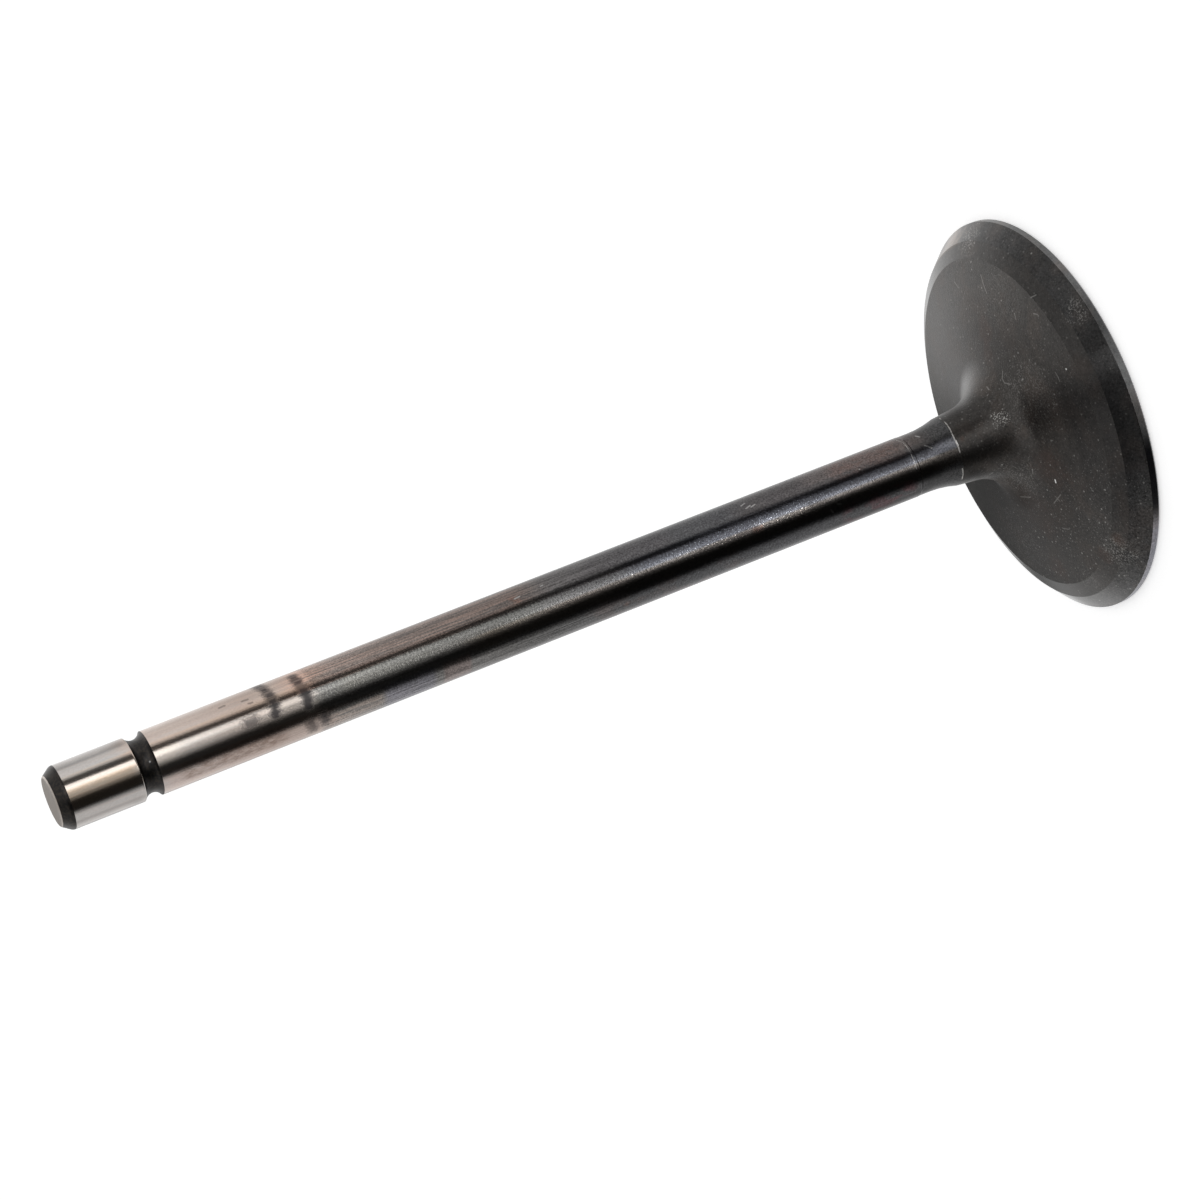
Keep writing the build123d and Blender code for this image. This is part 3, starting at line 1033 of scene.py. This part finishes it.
def headFinish(name):
    look = headLooks[name]
    material, start = newMaterial(name + "Skin")
    spot, across, deep, height = onValve(start)
    grain = noise(spot, 3.6, 4.0, 0.7)
    clouds = noise(spot, 0.22, 4.0, 0.6, shift=4.0)
    dapple = noise(spot, 1.1, 3.0, 0.65, shift=9.0)
    dusty = 1 - rise(across, *headMarks["dustSide"])
    cloudy, dappled, grainy = headMarks["tone"]
    tone = (clouds - 0.5) * cloudy + (dapple - 0.5) * dappled
    tone = tone + (grain - 0.5) * (grainy + dusty * headMarks["dustyGrain"])
    tone = 1 + tone * look["mottle"]
    shade = tone.vector("MULTIPLY", tone, look["colour"][:3])
    cloudMask = rise(clouds, *headMarks["cloudEdges"]) * headMarks["cloudDepth"]
    colour = times(cloudMask, shade, headMarks["cloudColour"])
    if name == "rim":
        # painted shade on one stretch of the rim, and a painted reflection beyond it
        colour = times(bell(across, *look["paintedShadeSide"]), colour, look["paintedShadeFactor"])
        colour = times(1 - rise(across, *look["paintedLightSide"]), colour, look["paintedLightFactor"])
    for pixel, radius in headMarks["stains"]:
        colour = times(blob(spot, pixel, radius), colour, headMarks["stainColour"])
    # painted shade under the neck, partly soot: the dull patch darkens the colour and adds roughness
    dull = blob(spot, *headMarks["dull"], ragged=0.1)
    colour = times(dull, colour, headMarks["dullAndShadedColour"])
    radius = start.node("ShaderNodeCombineXYZ", {}, {0: across, 1: deep})
    radius = radius.vector("LENGTH", radius, out="Value")
    fillet, inside, edge, outside = headMarks["innerShade"]
    inner = rise(radius, fillet, inside) * (1 - rise(radius, edge, outside))
    colour = times(inner, colour, headMarks["innerColour"])
    for pixel, reach, factor in headMarks["shades"]:
        colour = times(blob(spot, pixel, reach, ragged=0.2), colour, factor)
    # painted light and painted shade by direction round the head
    for sector in headMarks["litAndShadedSectors"]:
        toward = math.radians(sector["toward"])
        facing = (across * math.sin(toward) - deep * math.cos(toward)) / radius
        spread = [math.cos(math.radians(angle)) for angle in sector["spread"]]
        mask = rise(facing, *spread) * bell(radius, *sector["radii"], soft=1.5)
        colour = times(mask, colour, sector["factor"])
    # warm haze, partly a painted sheen on the seat's outer edge
    hazeAndSheen = blob(spot, *headMarks["hazeAndSheen"], ragged=0.5) * rise(radius, *headMarks["hazeFrom"])
    colour = blend(hazeAndSheen * headMarks["hazeDepth"], colour, headMarks["hazeColour"])

    gate = rise(noise(spot, 0.5, 3.0, shift=6.0), *headMarks["dustGaps"])
    dust = dots(spot, *headMarks["dustDots"]) * gate
    dust = dust + dots(spot, *headMarks["fineDots"]) * headMarks["fineDepth"]
    everywhere, thickest = headMarks["dustShare"]
    dust = dust * (everywhere + dusty * thickest) * look["specks"]
    width, ragged = headMarks["width"], headMarks["ragged"]
    marks = drawn(spot, headMarks["scratches"], width, ragged)
    specks = drawn(spot, headMarks["specks"], width * headMarks["speckWidth"], ragged)
    bright = drawn(spot, headMarks["bright"], width * headMarks["brightWidth"])
    powder = 0.0
    for pixel, reach, amount in headMarks["powder"]:
        powder = blob(spot, pixel, reach, ragged=1.0) * amount + powder
    powder = powder * rise(noise(spot, 4.8, 2.0, shift=1.0), *headMarks["powderEdges"])
    light = marks * headMarks["scratchDepth"] + specks * headMarks["speckDepth"] + powder + dust
    colour = blend(light, colour, headMarks["paleColour"])
    # bright specks, and a painted highlight on the crest
    colour = blend(bright, colour, headMarks["brightColour"])
    byGrain, byClouds = headMarks["roughnessParts"]
    roughness = look["roughness"] + (grain - 0.5) * byGrain + (clouds - 0.5) * byClouds
    roughness = roughness + dull * headMarks["dullRoughness"]
    if name == "underhead":
        # worn edges, partly a painted highlight along the crest
        edges = wornEdgesAndShine(spot, deep, height)
        colour = blend(edges, colour, wornSteelAndShine)
    metal(start, colour, roughness, bump(grain, look["grain"]), look["metallic"])
    return material


blackLook = {
    "skin": (0.034, 0.033, 0.033, 1.0),
    "thin": (0.060, 0.052, 0.046, 1.0),  # where the skin has worn thin
    "thinEdges": (0.35, 0.7),
    "speck": [[(149.9, 761.7)]],
    "speckWidth": 0.22,
    "speckColour": (0.4, 0.4, 0.4, 1.0),
    "speckDepth": 0.7,
    "roughness": 0.33,
    "unevenness": 0.08,  # of the roughness
    "turning": 0.006,  # depth of the turning marks
}


def blackFinish():
    material, start = newMaterial("blackedSteel")
    spot = onValve(start)[0]
    grain = noise(spot, 3.0, 3.0)
    rings = noise(scaled(spot, 0.4, 5.0), 1.0, 2.0)
    colour = blend(rise(grain, *blackLook["thinEdges"]), blackLook["skin"], blackLook["thin"])
    speck = drawn(spot, blackLook["speck"], blackLook["speckWidth"])
    colour = blend(speck * blackLook["speckDepth"], colour, blackLook["speckColour"])
    roughness = blackLook["roughness"] + grain * blackLook["unevenness"]
    metal(start, colour, roughness, bump(rings, blackLook["turning"]))
    return material


tipLook = {
    "ground": (0.52, 0.47, 0.43, 1.0),
    "cloudy": (0.48, 0.43, 0.385, 1.0),
    "cloudEdges": (0.4, 0.6),
    "fineDark": (0.86, 0.86, 0.86),
    "fineEdges": (0.5, 0.75),
    "roughness": 0.33,
    "unevenness": 0.08,
    "grain": 0.003,
}


def tipFinish():
    material, start = newMaterial("tipGround")
    spot = onValve(start)[0]
    fine = noise(spot, 3.5, 4.0)
    cloud = noise(spot, 0.6, 2.0, shift=3.0)
    colour = blend(rise(cloud, *tipLook["cloudEdges"]), tipLook["ground"], tipLook["cloudy"])
    colour = times(rise(fine, *tipLook["fineEdges"]), colour, tipLook["fineDark"])
    roughness = tipLook["roughness"] + fine * tipLook["unevenness"]
    metal(start, colour, roughness, bump(fine, tipLook["grain"]))
    return material


faceLook = {
    "colour": (0.085, 0.081, 0.078),
    "tone": (0.55, 0.7, 0.5, 0.3),  # least, and what the soot, the turning and the grain add
    "sootColour": (1.15, 0.97, 0.86),
    "sootEdges": (0.5, 0.65),
    "sootDepth": 0.7,
    "turns": 2.6,  # turning marks to a millimetre, roughly
    "roughness": 0.34,
    "unevenness": 0.12,
    "depth": 0.02,
    "turningShare": 0.7,  # of the relief, and the rest is grain
}


def faceFinish():
    material, start = newMaterial("turnedFace")
    spot, across, deep = onValve(start)[:3]
    radius = start.node("ShaderNodeCombineXYZ", {}, {0: across, 1: deep})
    radius = radius.vector("LENGTH", radius, out="Value")
    turning = start.node("ShaderNodeCombineXYZ", {}, {0: radius * faceLook["turns"]})
    turning = noise(turning, 1.0, 2.0)
    soot = noise(spot, 0.12, 5.0, 0.6, shift=8.0)
    grain = noise(spot, 4.0, 3.0, shift=1.0)
    least, bySoot, byTurning, byGrain = faceLook["tone"]
    tone = least + soot * bySoot + (turning - 0.5) * byTurning + (grain - 0.5) * byGrain
    shade = tone.vector("MULTIPLY", tone, faceLook["colour"])
    sooty = rise(soot, *faceLook["sootEdges"]) * faceLook["sootDepth"]
    colour = times(sooty, shade, faceLook["sootColour"])
    share = faceLook["turningShare"]
    relief = bump(turning * share + grain * (1 - share), faceLook["depth"])
    metal(start, colour, faceLook["roughness"] + soot * faceLook["unevenness"], relief)
    return material


finishMakers = {
    "face": faceFinish,
    "stem": stemFinish,
    "groove": blackFinish,
    "tipChamfer": blackFinish,
    "tipFace": tipFinish,
}


def makeFinish(name):
    made = headFinish(name) if name in headLooks else finishMakers[name]()
    print("finish made:", made.name)
    return made


def fitCheck(valve):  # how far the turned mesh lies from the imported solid
    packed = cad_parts["valve"]
    found = [packed.closest_point_on_mesh(vertex.co) for vertex in valve.data.vertices]
    return max((vertex.co - hit[1]).length for vertex, hit in zip(valve.data.vertices, found))


makeCamera()
makeStudio()
makeFloor()
valve = makeValve()
print("furthest from the packed solid, mm:", round(fitCheck(valve) / mm, 3))
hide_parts("valve")
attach(valve, "root")

bpy.context.scene.view_settings.view_transform = "Standard"
